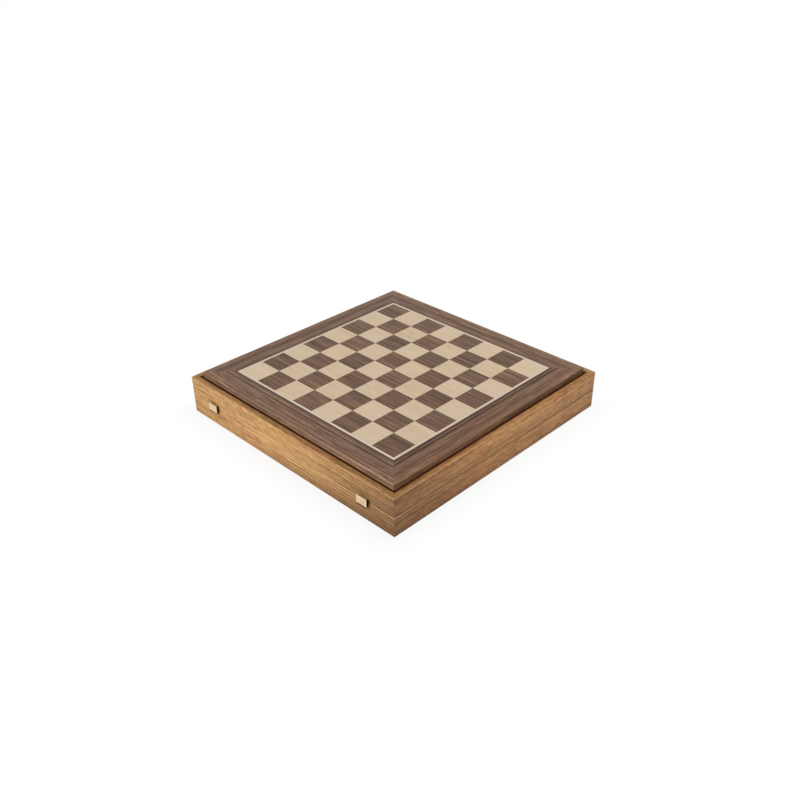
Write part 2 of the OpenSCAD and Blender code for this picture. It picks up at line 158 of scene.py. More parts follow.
class Graph:
    """Adds nodes to one node tree and joins them."""

    def __init__(self, tree: bpy.types.NodeTree) -> None:
        """Starts on the node tree to build in."""
        self.tree = tree

    @classmethod
    def of(cls, owner: bpy.types.Material | bpy.types.World) -> "Graph":
        """Empties the node tree of a material or world, and starts on it.

        Args:
            owner: The material or world.

        Returns:
            The graph.
        """
        owner.use_nodes = True
        owner.node_tree.nodes.clear()
        return cls(owner.node_tree)

    def feed(self, socket: Socket, value: object) -> None:
        """Gives a socket a link or a plain value.

        Args:
            socket: The input to set.
            value: Another node's output, or a number, colour or vector.
        """
        if isinstance(value, bpy.types.NodeSocket):
            self.tree.links.new(value, socket)
        elif socket.type == "RGBA" and len(value) == 3:
            socket.default_value = (*value, 1.0)
        else:
            socket.default_value = value

    def add(
        self, kind: str, sockets: dict[str | int, object] | None = None, **settings: object
    ) -> bpy.types.Node:
        """Adds a node.

        Args:
            kind: Blender's name for the node's type, without its first part.
            sockets: Values for its inputs, by their names or numbers.
            **settings: Values for the node's own properties.

        Returns:
            The new node.
        """
        node = self.tree.nodes.new(f"ShaderNode{kind}")
        for name, value in settings.items():
            setattr(node, name, value)
        for name, value in (sockets or {}).items():
            self.feed(node.inputs[name], value)
        return node

    def math(self, operation: str, *values: object, clamp: bool = False) -> Socket:
        """Adds a Math node, kept from 0 to 1 if it is clamped, and returns its output."""
        node = self.add("Math", dict(enumerate(values)), operation=operation, use_clamp=clamp)
        return node.outputs[0]

    def times(self, *values: object) -> Socket:
        """Multiplies two numbers or more."""
        return reduce(lambda first, second: self.math("MULTIPLY", first, second), values)

    def minus(self, first: object, second: object) -> Socket:
        """Subtracts the second number from the first."""
        return self.math("SUBTRACT", first, second)

    def vector(self, operation: str, *values: object) -> Socket:
        """Adds a Vector Math node and returns its first output."""
        return self.add("VectorMath", dict(enumerate(values)), operation=operation).outputs[0]

    def combine(self, x: object, y: object, z: object) -> Socket:
        """Joins three numbers into a vector."""
        return self.add("CombineXYZ", {"X": x, "Y": y, "Z": z}).outputs[0]

    def split(self, vector: Socket) -> tuple[Socket, Socket, Socket]:
        """Splits a vector into its three numbers."""
        outputs = self.add("SeparateXYZ", {"Vector": vector}).outputs
        return outputs[0], outputs[1], outputs[2]

    def noise(self, vector: Socket, detail: float = 2.0, roughness: float = 0.5) -> Socket:
        """Adds smooth noise of scale 1 and returns its value, which is about 0.5 on average."""
        sockets = {"Vector": vector, "Scale": 1.0, "Detail": detail, "Roughness": roughness}
        return self.add("TexNoise", sockets).outputs[0]

    def stretch(self, vector: Socket, x: float, y: float, z: float) -> Socket:
        """Multiplies a vector by a frequency along each axis."""
        return self.vector("MULTIPLY", vector, (x, y, z))

    def remap(
        self, value: Socket, low: float, high: float, to_low: float = 0.0, to_high: float = 1.0
    ) -> Socket:
        """Maps a range of values to another, and stops at its ends."""
        sockets = {"Value": value, "From Min": low, "From Max": high, "To Min": to_low, "To Max": to_high}
        return self.add("MapRange", sockets).outputs[0]

    def mix(self, share: object, first: object, second: object, blend: str = "MIX") -> Socket:
        """Mixes two colours by the share of the second, through the colour sockets of a Mix node."""
        node = self.add("Mix", {0: share, 6: first, 7: second}, data_type="RGBA", blend_type=blend)
        return node.outputs[2]

    def ramp(self, value: Socket, stops: dict[float, Colour]) -> Socket:
        """Turns a value into a colour.

        Args:
            value: The value to look up.
            stops: Places from 0 to 1, in order, each with its colour.

        Returns:
            The colour.
        """
        node = self.add("ValToRGB", {"Fac": value})
        elements = node.color_ramp.elements
        elements.remove(elements[1])
        (first, colour), *others = stops.items()
        elements[0].position = first
        elements[0].color = (*colour, 1.0)
        for place, colour in others:
            elements.new(place).color = (*colour, 1.0)
        return node.outputs[0]

    def profile(self, value: Socket, stops: Stops) -> Socket:
        """Looks up a number along a line of stops.

        Args:
            value: A distance in metres.
            stops: Distances in millimetres, in order, each with its number from 0 to TOP_NUMBER.

        Returns:
            The number at that distance. Beyond the ends it stays as it is there.
        """
        low, high = min(stops), max(stops)
        share = self.remap(value, low * MM, high * MM)
        greys = {(place - low) / (high - low): (number / TOP_NUMBER,) * 3 for place, number in stops.items()}
        return self.times(self.ramp(share, greys), TOP_NUMBER)


class EffectGroup:
    """A shader group with named inputs and outputs, built once and placed in many materials."""

    def __init__(self, name: str, inputs: dict[str, object], outputs: dict[str, str]) -> None:
        """Makes an empty group.

        Args:
            name: The group's name.
            inputs: Each input's name, with its default number or vector.
            outputs: Each output's name, with the last part of its socket type.
        """
        self.tree = bpy.data.node_groups.new(name, "ShaderNodeTree")
        for label, default in inputs.items():
            kind = "NodeSocketVector" if isinstance(default, tuple) else "NodeSocketFloat"
            socket = self.tree.interface.new_socket(label, in_out="INPUT", socket_type=kind)
            socket.default_value = default
        for label, kind in outputs.items():
            self.tree.interface.new_socket(label, in_out="OUTPUT", socket_type=f"NodeSocket{kind}")
        self.graph = Graph(self.tree)
        self.inputs = self.tree.nodes.new("NodeGroupInput").outputs
        self.outputs = self.tree.nodes.new("NodeGroupOutput").inputs

    def place(self, graph: Graph, sockets: dict[str, object]) -> bpy.types.Node:
        """Places the group in a material, with values for its inputs, and returns its node."""
        return graph.add("Group", sockets, node_tree=self.tree)


# Numbers of the figure, each of which a timber gives by its field of the same name
FIGURE_INPUTS = (
    "Band", "Line", "Wander",
    "Band Contrast", "Line Contrast", "Fleck Contrast", "Ring Contrast", "Mottle Contrast",
)
# How far apart in the log two neighbouring seeds lie, in metres
SEED_STEP = (1.7, 0.31, 0.53)
# Waves per metre of what sways the figure and of its clouds, along and across the grain
WANDER_RATES, RIPPLE_RATES, CLOUD_RATES = (2.4, 11.0, 11.0), (14.0, 60.0, 60.0), (18.0, 50.0, 50.0)
RIPPLE_SHARE, CLOUD_RANGE = 0.3, (0.38, 0.62)
# Waves per metre of each layer along the grain
BAND_RATE, LINE_RATE, FLECK_RATE, RING_RATE = 1.6, 7.0, 26.0, 1.1
MOTTLE_RATE, MOTTLE_ACROSS, MOTTLE_SLANT = 75.0, 260.0, 36.0
LAYER_ROUGHNESS, MOTTLE_ROUGHNESS = 0.55, 0.6
# Pores: waves per metre and width, the values of the noise where they show, and the share that the
# fine ones keep, and all of them in closed bands
FINE_PORES, FINE_PORE_RANGE, FINE_PORE_SHARE = (70.0, 0.35 * MM), (0.58, 0.70), 0.7
COARSE_PORES, COARSE_PORE_RANGE = (110.0, 1.0 * MM), (0.63, 0.73)
CLOSED_BANDS, CLOSED_SHARE = (0.35, 0.6), 0.3
# Growth rings: their slant through the board, their width as a share of a band's, and their sway
RING_SLANT, RING_SHARE, RING_SWAY, RING_SWAY_WIDTH, RING_SHARPNESS = 0.9, 0.55, 5.0, 30 * MM, 4.0
# How deep the lines lie, as a share of the pores' depth
LINE_DEPTH = 0.4
# Largest part of the normal on a face that counts as square to an axis, and as fully eased
SQUARE_NORMAL, EASED_NORMAL = 0.97, 0.85
# Parts of the normal's height where the pale edges fade on undersides, and on upright edges
UNDERSIDE_RANGE, UPRIGHT_RANGE = (-0.4, -0.1), (0.1, 0.3)
# Pale edges, part wear and part painted highlight: the waves per metre and range of their breaks, and
# their least shares there, on upright edges and far from the point where the painted highlight is
# strongest, which starts at a share of its reach
EDGE_BREAK_RATE, EDGE_BREAK_RANGE, EDGE_BREAK_LEAST, UPRIGHT_SHARE = 60.0, (0.3, 0.6), 0.3, 0.4
FAR_EDGE_SHARE, FULL_EDGE_REACH = 0.12, 0.3


class Effects:
    """The shared shader groups of this object's finishes."""

    def __init__(self) -> None:
        """Builds each group once."""
        self.figure = self._figure()
        self.arris = self._arris()
        self.tiles = self._tiles()

    def _figure(self) -> EffectGroup:
        """Builds the figure of sliced timber, with its grain along the vector's X.

        Returns:
            A group that puts out a shade from dark to pale, a mask of pores, a height and soft clouds.
        """
        group = EffectGroup(
            "timber_figure",
            {"Vector": (0.0, 0.0, 0.0), "Seed": 0.0, **dict.fromkeys(FIGURE_INPUTS, 1.0)},
            dict.fromkeys(("Shade", "Pores", "Height", "Clouds"), "Float"),
        )
        g, given = group.graph, group.inputs
        seed = given["Seed"]
        place = g.vector("ADD", given["Vector"], g.stretch(g.combine(seed, seed, seed), *SEED_STEP))
        wander = g.minus(g.noise(g.stretch(place, *WANDER_RATES)), 0.5)
        ripple = g.minus(g.noise(g.stretch(place, *RIPPLE_RATES), 1.0), 0.5)
        wander = g.times(g.math("MULTIPLY_ADD", ripple, RIPPLE_SHARE, wander), given["Wander"])
        along, *sideways = g.split(place)
        sideways = [g.math("ADD", value, wander) for value in sideways]

        def layer(rate: float, width: object, detail: float) -> Socket:
            """Noise that is long along the grain and as wide as the width across it."""
            across = (g.math("DIVIDE", value, width) for value in sideways)
            return g.noise(g.combine(g.times(along, rate), *across), detail, LAYER_ROUGHNESS)

        bands = layer(BAND_RATE, given["Band"], 3.0)
        lines = layer(LINE_RATE, given["Line"], 3.0)
        flecks = layer(FLECK_RATE, given["Line"], 2.0)
        slant = g.times(along, MOTTLE_SLANT)
        across = (g.math("MULTIPLY_ADD", value, MOTTLE_ACROSS, slant) for value in sideways)
        mottle = g.noise(g.combine(g.times(along, MOTTLE_RATE), *across), 2.0, MOTTLE_ROUGHNESS)
        rings = g.math("ADD", sideways[0], g.times(sideways[1], RING_SLANT))
        rings = g.math("DIVIDE", rings, g.times(given["Band"], RING_SHARE))
        rings = g.math("ADD", rings, g.times(layer(RING_RATE, RING_SWAY_WIDTH, 2.0), RING_SWAY))
        late = g.math("POWER", g.math("FRACT", rings), RING_SHARPNESS)
        shade = 0.5
        for name, value in {"Band": bands, "Line": lines, "Fleck": flecks, "Mottle": mottle}.items():
            shade = g.math("MULTIPLY_ADD", g.minus(value, 0.5), given[f"{name} Contrast"], shade)
        shade = g.minus(shade, g.times(late, given["Ring Contrast"]))
        fine = g.remap(layer(*FINE_PORES, 1.0), *FINE_PORE_RANGE)
        coarse = g.remap(layer(*COARSE_PORES, 1.0), *COARSE_PORE_RANGE)
        pores = g.math("MAXIMUM", g.times(fine, FINE_PORE_SHARE), coarse)
        pores = g.times(pores, g.remap(bands, *CLOSED_BANDS, 1.0, CLOSED_SHARE))
        clouds = g.remap(g.noise(g.stretch(place, *CLOUD_RATES), 3.0), *CLOUD_RANGE)
        g.feed(group.outputs["Shade"], g.math("MULTIPLY", shade, 1.0, clamp=True))
        g.feed(group.outputs["Pores"], pores)
        g.feed(group.outputs["Height"], g.minus(g.times(lines, LINE_DEPTH), pores))
        g.feed(group.outputs["Clouds"], clouds)
        return group

    def _arris(self) -> EffectGroup:
        """Builds the mask of eased and bevelled edges: faces that lie square to no axis.

        Returns:
            A group that puts out the mask of pale edges, part sanded wear and part painted highlight, broken
            up along the edge, strongest near a given point, and weaker on upright edges.
        """
        group = EffectGroup(
            "sanded_arris",
            {"Normal": (0.0, 0.0, 1.0), "Vector": (0.0, 0.0, 0.0), "Handled": NEAR_CORNER, "Reach": 0.3},
            {"Mask": "Float"},
        )
        g, given = group.graph, group.inputs
        x, y, z = g.split(g.vector("ABSOLUTE", given["Normal"]))
        largest = g.math("MAXIMUM", g.math("MAXIMUM", x, y), z)
        level = g.split(given["Normal"])[2]
        away = g.add("VectorMath", {0: given["Vector"], 1: given["Handled"]}, operation="DISTANCE")
        share = g.math("DIVIDE", away.outputs["Value"], given["Reach"])
        edge_breaks = g.noise(g.stretch(given["Vector"], EDGE_BREAK_RATE, EDGE_BREAK_RATE, EDGE_BREAK_RATE))
        mask = g.times(
            g.remap(largest, SQUARE_NORMAL, EASED_NORMAL),
            g.remap(level, *UNDERSIDE_RANGE),
            g.remap(g.math("ABSOLUTE", level), *UPRIGHT_RANGE, UPRIGHT_SHARE, 1.0),
            g.remap(share, FULL_EDGE_REACH, 1.0, 1.0, FAR_EDGE_SHARE),
            g.remap(edge_breaks, *EDGE_BREAK_RANGE, EDGE_BREAK_LEAST, 1.0),
        )
        g.feed(group.outputs["Mask"], mask)
        return group

    def _tiles(self) -> EffectGroup:
        """Builds what tells the squares of the field apart.

        Returns:
            A group that puts out a tone for each square, and a shift of its grain.
        """
        inputs = {"Vector": (0.0, 0.0, 0.0), "Pitch": SQUARE}
        group = EffectGroup("inlaid_squares", inputs, {"Tone": "Float", "Shift": "Vector"})
        g, given = group.graph, group.inputs
        x, y, _ = g.split(given["Vector"])
        column, row = (g.math("FLOOR", g.math("DIVIDE", place, given["Pitch"])) for place in (x, y))
        draw = g.add("TexWhiteNoise", {"Vector": g.combine(column, row, 3.0)}, noise_dimensions="3D")
        g.feed(group.outputs["Tone"], draw.outputs["Value"])
        g.feed(group.outputs["Shift"], draw.outputs["Color"])
        return group


class Finish:
    """Starts a material: its graph, its Object coordinates and its surface shader."""

    def start(self, name: str) -> tuple[bpy.types.Material, Graph, bpy.types.Node, bpy.types.Node]:
        """Makes an empty material.

        Args:
            name: The material's name.

        Returns:
            The material, its graph, the Texture Coordinate node and the surface shader.
        """
        material = bpy.data.materials.new(name)
        graph = Graph.of(material)
        where = graph.add("TexCoord")
        surface = graph.add("BsdfPrincipled")
        graph.add("OutputMaterial", {"Surface": surface.outputs[0]})
        return material, graph, where, surface


@dataclass(frozen=True)
class Mark:
    """Lines of a leaf: how strong they are along the side, and their tones across it.

    Tones are shares of the finish's brightness, and distances are in millimetres. Those along the
    side start at its middle. Those across it are heights on upright faces, and distances out from
    the middle of the box on flat ones, or on all four sides at once for a ring.
    """

    along: Stops
    across: Stops
    lie: Lie = Lie.UPRIGHT


@dataclass(frozen=True)
class Leaf:
    """One leaf of veneer, which runs along one side: its place in the log, its tones and its marks.

    Marks of the grain sway and come and go with the figure. Fixed marks stay where they are: painted
    shade in seams, at feet and beside the board, pale edges that are part wear and part painted
    highlight, painted light low on the board's edge, and broad tones, some of them painted shade.
    """

    seed: float
    side: Side = Side.FRONT
    upright: Stops = field(default_factory=lambda: EVEN)
    flat: Stops = field(default_factory=lambda: EVEN)
    grain: tuple[Mark, ...] = ()
    fixed: tuple[Mark, ...] = ()
    tint: Colour = (1.0, 1.0, 1.0)


# Where the streak, dark, body and pale colours of a timber stand on the scale of its shade
SHADE_PLACES = (0.0, 0.22, 0.5, 0.85)
# A leaf's marks: waves per metre of their sway and of what makes them come and go, and its strongest
SWAY_RATES, BREAK_RATES, BREAK_RANGE, STRONGEST = (9.0,) * 3, (22.0, 260.0, 260.0), (0.36, 0.58), 1.15
# Part of the normal's height that tells flat faces from upright ones
FLAT_RANGE = (0.5, 0.8)
# Weakest and strongest share in which a square shows the lines along its edges
ROW_SHARES = (0.2, 1.2)
# How much redder a timber gets as its tone falls
REDDENING = 1.1
# How much rougher than on average the darkest wood is, and how much smoother the palest
DARK_ROUGHER, PALE_SMOOTHER = 0.06, 0.04


@dataclass(frozen=True)
class Timber(Finish):
    """Lacquered timber with its grain along one way of the board."""

    name: str
    streak: ScreenColour
    dark: ScreenColour
    body: ScreenColour
    pale: ScreenColour
    blush: ScreenColour
    edge: ScreenColour = (236, 206, 164)
    moss: ScreenColour | None = None
    blush_share: float = 0.5
    band: float = 12 * MM
    line: float = 1.6 * MM
    wander: float = 10 * MM
    band_contrast: float = 1.0
    line_contrast: float = 0.6
    fleck_contrast: float = 0.6
    ring_contrast: float = 0.2
    mottle_contrast: float = 0.0
    pores: float = 0.5
    # Pale edges, part wear and part painted highlight: their strength, where the highlight peaks, its reach
    edge_light: float = 0.5
    handled: tuple[float, float, float] = NEAR_CORNER
    handled_reach: float = 0.22
    roughness: float = 0.45
    gloss: float = 0.18
    bump: float = 0.12
    pore_depth: float = 0.12 * MM
    drift: float = 1.2 * MM
    faintest: float = 0.5
    # Painted shade at the foot: heights in millimetres with the share of its colour, and that colour
    foot: Stops = field(default_factory=dict)
    foot_stain: Colour = (1.0, 1.0, 1.0)
    mirrored: bool = False
    tile: float = 0.0
    tile_tone: float = 0.0
    tile_rows: Stops = field(default_factory=dict)

    def material(self, effects: Effects, leaf: Leaf) -> bpy.types.Material:
        """Builds the finish for the pieces that one leaf covers.

        Args:
            effects: The shared shader groups.
            leaf: The leaf of veneer.

        Returns:
            The material.
        """
        material, g, where, surface = self.start(f"{self.name}_{leaf.side.word}_{leaf.seed:g}")
        here, normal = where.outputs["Object"], where.outputs["Normal"]
        quarter_turns = (0.0, 0.0, -leaf.side.value * math.pi / 2)
        turned = g.add("Mapping", {"Vector": here, "Rotation": quarter_turns}).outputs[0]
        place = turned
        if self.mirrored:
            x, y, z = g.split(turned)
            place = g.combine(g.math("ABSOLUTE", x), y, z)
        squares = None
        if self.tile:
            squares = effects.tiles.place(g, {"Vector": turned, "Pitch": self.tile})
            place = g.vector("ADD", place, squares.outputs["Shift"])
        numbers = {name: getattr(self, name.lower().replace(" ", "_")) for name in FIGURE_INPUTS}
        figure = effects.figure.place(g, {"Vector": place, "Seed": leaf.seed, **numbers}).outputs
        shade = figure["Shade"]
        if squares is not None:
            lift = g.remap(squares.outputs["Tone"], 0.0, 1.0, -self.tile_tone, self.tile_tone)
            shade = g.math("ADD", shade, lift, clamp=True)
        colours = map(linear, (self.streak, self.dark, self.body, self.pale))
        colour = g.ramp(shade, dict(zip(SHADE_PLACES, colours)))
        colour = g.mix(g.times(figure["Clouds"], self.blush_share), colour, linear(self.blush))
        if self.moss:
            clear = g.math("MULTIPLY_ADD", figure["Clouds"], -self.blush_share, self.blush_share)
            colour = g.mix(clear, colour, linear(self.moss))
        colour = g.mix(g.times(figure["Pores"], self.pores), colour, linear(self.streak))
        colour = g.mix(1.0, colour, self._tone(g, leaf, turned, normal, squares), "MULTIPLY")
        # Pale eased edges: part wear, part painted highlight that is strongest near the near corner
        arris = effects.arris.place(g, {"Normal": normal, "Vector": here, "Handled": self.handled,
                                        "Reach": self.handled_reach})
        colour = g.mix(g.times(arris.outputs["Mask"], self.edge_light), colour, linear(self.edge))
        g.feed(surface.inputs["Base Color"], colour)
        darkest, palest = self.roughness + DARK_ROUGHER, self.roughness - PALE_SMOOTHER
        g.feed(surface.inputs["Roughness"], g.remap(shade, 0.0, 1.0, darkest, palest))
        surface.inputs["Specular IOR Level"].default_value = self.gloss
        bump = g.add("Bump", {"Height": figure["Height"], "Strength": self.bump, "Distance": self.pore_depth})
        g.feed(surface.inputs["Normal"], bump.outputs[0])
        return material

    def _tone(
        self, g: Graph, leaf: Leaf, place: Socket, normal: Socket, squares: bpy.types.Node | None
    ) -> Socket:
        """Works out how the tone changes along and across the leaf.

        Args:
            g: The material's graph.
            leaf: The leaf of veneer.
            place: Position, with the grain along X and the piece on the -Y side.
            normal: The face's direction.
            squares: The node that tells the squares apart, if there are any.

        Returns:
            The share of the finish's own brightness, a little redder where it is low, and with painted
            shade at the foot where the finish has one.
        """
        along, across, height = g.split(place)
        flat = g.remap(g.math("ABSOLUTE", g.split(normal)[2]), *FLAT_RANGE)
        upright_tone = g.profile(along, leaf.upright)
        tone = g.minus(g.profile(along, leaf.flat), upright_tone)
        tone = g.math("MULTIPLY_ADD", tone, flat, upright_tone)
        if leaf.grain or leaf.fixed:
            wave = g.times(g.minus(g.noise(g.stretch(place, *SWAY_RATES), 1.0), 0.5), self.drift)
            broken = g.noise(g.stretch(place, *BREAK_RATES))
            broken = g.remap(broken, *BREAK_RANGE, self.faintest, STRONGEST)
            outwards = g.math("MAXIMUM", g.math("ABSOLUTE", along), g.math("ABSOLUTE", across))
            reach = {Lie.UPRIGHT: height, Lie.FLAT: g.times(across, -1.0), Lie.RING: outwards}
            shown = {Lie.UPRIGHT: g.minus(1.0, flat), Lie.FLAT: flat, Lie.RING: flat}
            for number, mark in enumerate(leaf.grain + leaf.fixed):
                distance, strength = reach[mark.lie], shown[mark.lie]
                if number < len(leaf.grain):
                    distance = g.math("ADD", distance, wave)
                    strength = g.times(strength, broken)
                change = g.minus(g.profile(distance, mark.across), 1.0)
                change = g.times(change, g.profile(along, mark.along))
                tone = g.times(tone, g.math("MULTIPLY_ADD", change, strength, 1.0))
        if squares is not None and self.tile_rows:
            row = g.times(g.math("FRACT", g.math("DIVIDE", across, self.tile)), self.tile)
            change = g.minus(g.profile(row, self.tile_rows), 1.0)
            spread = g.remap(g.split(squares.outputs["Shift"])[1], 0.0, 1.0, *ROW_SHARES)
            tone = g.times(tone, g.math("MULTIPLY_ADD", change, spread, 1.0))
        redder = g.math("POWER", tone, REDDENING)
        toned = g.vector("MULTIPLY", g.combine(tone, redder, redder), leaf.tint)
        # Painted shade at the foot, mixed in by height
        if self.foot:
            foot_shade = g.mix(g.profile(height, self.foot), (1.0, 1.0, 1.0), self.foot_stain)
            toned = g.vector("MULTIPLY", toned, foot_shade)
        return toned


# Brass: where clouds dull it, the parts of the normal where a lever is polished on its face and on
# its upper edge, and the polish of that edge
DULL_RANGE, FACE_OUTWARD, FACE_UPWARD = (0.4, 0.75), (-0.45, -0.7), (-0.4, -0.2)
EDGE_UPWARD, EDGE_POLISH = (0.5, 0.9), 0.4
# How strong its brushed relief is, and how much is taken off its roughness where it is smoothest
BRUSHED_BUMP, SMOOTHER = 0.1, 0.1


@dataclass(frozen=True)
class Brass(Finish):
    """Lacquered brass, brushed across and a little dulled by handling.

    Where it has a painted shadow line, only the faces towards -Y are bright, above its height; the
    strip of the face below it is a painted shadow in the dark colour, and the other faces stay dark.
    """

    name: str
    bright: ScreenColour
    dull: ScreenColour
    patina: ScreenColour
    roughness: float = 0.3
    # Top of a painted shadow line along the lower edge of the lever's face, and how soft that top is
    lip: float | None = None
    lip_edge: float = 0.4 * MM
    brush_rates: tuple[float, float, float] = (300.0, 6000.0, 6000.0)
    cloud_rates: tuple[float, float, float] = (140.0,) * 3
    dull_share: float = 0.7
    unevenness: float = 0.12
    scratch: float = 0.02 * MM

    def material(self) -> bpy.types.Material:
        """Builds the finish.

        Returns:
            The material.
        """
        material, g, where, surface = self.start(self.name)
        place = where.outputs["Object"]
        brushed = g.noise(g.stretch(place, *self.brush_rates), 2.0)
        cloudy = g.noise(g.stretch(place, *self.cloud_rates), 3.0)
        dulled = g.remap(cloudy, *DULL_RANGE, 0.0, self.dull_share)
        tint = g.mix(dulled, linear(self.bright), linear(self.dull))
        # Below this height the face shows the dark colour: a painted shadow line along its lower edge
        if self.lip is not None:
            _, outward, upward = g.split(where.outputs["Normal"])
            above = g.remap(g.split(place)[2], self.lip, self.lip + self.lip_edge)
            front = g.times(g.remap(outward, *FACE_OUTWARD), g.remap(upward, *FACE_UPWARD), above)
            polished = g.math("MAXIMUM", front, g.remap(upward, *EDGE_UPWARD, 0.0, EDGE_POLISH))
            tint = g.mix(polished, linear(self.patina), tint)
        g.feed(surface.inputs["Base Color"], tint)
        surface.inputs["Metallic"].default_value = 1.0
        rough = g.math("ADD", brushed, cloudy)
        rough = g.math("MULTIPLY_ADD", rough, self.unevenness, self.roughness - SMOOTHER)
        g.feed(surface.inputs["Roughness"], rough)
        bump = g.add("Bump", {"Height": brushed, "Strength": BRUSHED_BUMP, "Distance": self.scratch})
        g.feed(surface.inputs["Normal"], bump.outputs[0])
        return material


@dataclass(frozen=True)
class Felt(Finish):
    """Pressed wool felt with a short pile."""

    name: str
    deep: ScreenColour
    body: ScreenColour
    worn: ScreenColour
    fibre_rates: tuple[float, float, float] = (1400.0,) * 3
    cloud_rates: tuple[float, float, float] = (45.0,) * 3
    fibre_share: float = 0.6
    pile: float = 0.25 * MM

    def material(self) -> bpy.types.Material:
        """Builds the finish.

        Returns:
            The material.
        """
        material, g, where, surface = self.start(self.name)
        place = where.outputs["Object"]
        fibres = g.noise(g.stretch(place, *self.fibre_rates), 4.0, 0.7)
        clouds = g.noise(g.stretch(place, *self.cloud_rates), 3.0)
        pile = g.math("ADD", g.times(fibres, self.fibre_share), g.times(clouds, 1 - self.fibre_share))
        colours = {0.3: linear(self.deep), 0.5: linear(self.body), 0.72: linear(self.worn)}
        g.feed(surface.inputs["Base Color"], g.ramp(pile, colours))
        shine = {"Roughness": 0.95, "Sheen Weight": 0.35, "Sheen Roughness": 0.5, "Specular IOR Level": 0.2}
        for name, value in shine.items():
            surface.inputs[name].default_value = value
        bump = g.add("Bump", {"Height": fibres, "Strength": 0.5, "Distance": self.pile})
        g.feed(surface.inputs["Normal"], bump.outputs[0])
        return material


# ---- Finishes of this box ----

BOX_WALNUT = Timber(
    name="honey_walnut", streak=(112, 72, 38), dark=(166, 118, 68), body=(189, 143, 88), pale=(217, 174, 117),
    blush=(198, 137, 92), moss=(186, 146, 84), blush_share=0.38, band=13 * MM, line=2.3 * MM, wander=9 * MM,
    band_contrast=1.2, line_contrast=0.9, fleck_contrast=1.3, ring_contrast=0.1, mottle_contrast=1.5,
    pores=0.7, edge_light=0.6, handled=(0.213, -0.213, 0.06), handled_reach=0.11, faintest=0.65,
)
# The board's edge gets painted shade at its foot, down in the gap below the rim's height
BOARD_WALNUT = Timber(
    name="dark_walnut", streak=(66, 45, 34), dark=(108, 79, 58), body=(136, 102, 76), pale=(178, 142, 114),
    blush=(126, 98, 84), edge=(206, 174, 146), band=6 * MM, line=1.5 * MM, wander=1.5 * MM, band_contrast=0.5,
    line_contrast=1.5, fleck_contrast=1.5, ring_contrast=0.08, mottle_contrast=0.5, edge_light=0.8,
    handled=(0.15, -0.2, 0.066), handled_reach=0.09, drift=0.4 * MM, faintest=0.85,
    foot={56.8: 1, 57.6: 0.85, 58.6: 0.2, 59.4: 0}, foot_stain=(0.40, 0.14, 0.03), mirrored=True,
)
DARK_SQUARES = Timber(
    name="walnut_squares", streak=(64, 44, 32), dark=(102, 74, 53), body=(126, 93, 68), pale=(166, 131, 103),
    blush=(116, 90, 75), blush_share=0.6, band=5 * MM, wander=2 * MM, band_contrast=0.8, line_contrast=2.3,
    fleck_contrast=1.3, ring_contrast=0.1, tile=SQUARE, tile_tone=0.08,
    tile_rows={0: 0.82, 1.6: 0.74, 3.6: 1.02, 4.6: 1.2, 5.6: 0.9, 9: 1.02, 30: 1, 35.2: 0.92, 36.4: 1.2,
               37.4: 0.82, 40: 0.8},
)
LIGHT_SQUARES = Timber(
    name="maple_squares", streak=(204, 174, 138), dark=(230, 203, 167), body=(240, 215, 181),
    pale=(247, 226, 197), blush=(241, 213, 185), wander=5 * MM, band_contrast=0.8, line_contrast=0.8,
    ring_contrast=0.03, mottle_contrast=0.6, pores=0.15, tile=SQUARE, tile_tone=0.12,
)
MAPLE_LINE = Timber(
    name="maple_line", streak=(220, 188, 158), dark=(236, 212, 186), body=(244, 222, 200),
    pale=(248, 230, 212), blush=(244, 220, 202), band=8 * MM, band_contrast=0.5, line_contrast=0.3,
    ring_contrast=0.0, pores=0.1,
)
PLYWOOD = Timber(
    name="birch_panel", streak=(150, 116, 76), dark=(192, 158, 112), body=(208, 176, 132),
    pale=(222, 194, 152), blush=(208, 172, 128), band=30 * MM, line=2.2 * MM, wander=30 * MM,
    ring_contrast=0.3, pores=0.3, gloss=0.15, roughness=0.6,
)
# A very dark brown for the lid's panel
DARK_PANEL = Timber(
    name="stained_panel", streak=(40, 21, 11), dark=(62, 34, 19), body=(76, 43, 25), pale=(92, 56, 35),
    blush=(72, 40, 27), band=20 * MM, line=1.8 * MM, wander=20 * MM, roughness=0.6, gloss=0.12,
)
DIVIDER_WALNUT = Timber(
    name="divider_walnut", streak=(92, 60, 38), dark=(146, 104, 66), body=(168, 122, 80),
    pale=(196, 152, 106), blush=(168, 116, 76), band=9 * MM, line=1.4 * MM, ring_contrast=0.25,
)
# The lever's face is dark below 23.8 mm: a painted shadow line along its lower edge
LATCH_BRASS = Brass("latch_brass", (222, 198, 162), (204, 178, 140), (56, 36, 18), 0.42, 23.8 * MM)
HINGE_BRASS = Brass("hinge_brass", (232, 204, 144), (196, 160, 98), (74, 54, 30), 0.32)
GREEN_FELT = Felt("green_felt", (22, 50, 34), (38, 76, 52), (60, 104, 76))

# ---- Leaves of veneer ----

# Lower walls: darker towards the bottom, darkest in the lowest millimetres by the floor, as painted shade
LOW_HALF = {0: 0.64, 2.5: 0.68, 4.5: 0.85, 26: 0.88, 29: 0.94, 30.5: 1}
# Across the seam: a pale band below, part wear and part painted highlight, under painted shade
SEAM_EDGE_AND_SHADE = {27.4: 1, 28.4: 1.2, 29.15: 1.2, 29.3: 0.6, 30.4: 0.66, 31.6: 1}
# The same across the seam, stronger
NEAR_SEAM_EDGE_AND_SHADE = {27: 1, 27.7: 1.12, 28.3: 1.8, 29.2: 2, 29.4: 2, 29.9: 1.4, 30.4: 0.7, 31.5: 0.58, 32.3: 0.9,
             33.2: 1}
# The rim's pale outer edge: part wear, part painted highlight
RIM_EDGE_WEAR_AND_HIGHLIGHT = {57.8: 1, 58.7: 1.35, 59.3: 1.75}
GLUE_JOINTS = Mark(EVEN, {160: 0.86, 160.5: 0.95, 161: 1.05, 163: 1.05, 163.6: 0.75, 164.3: 0.3}, Lie.RING)

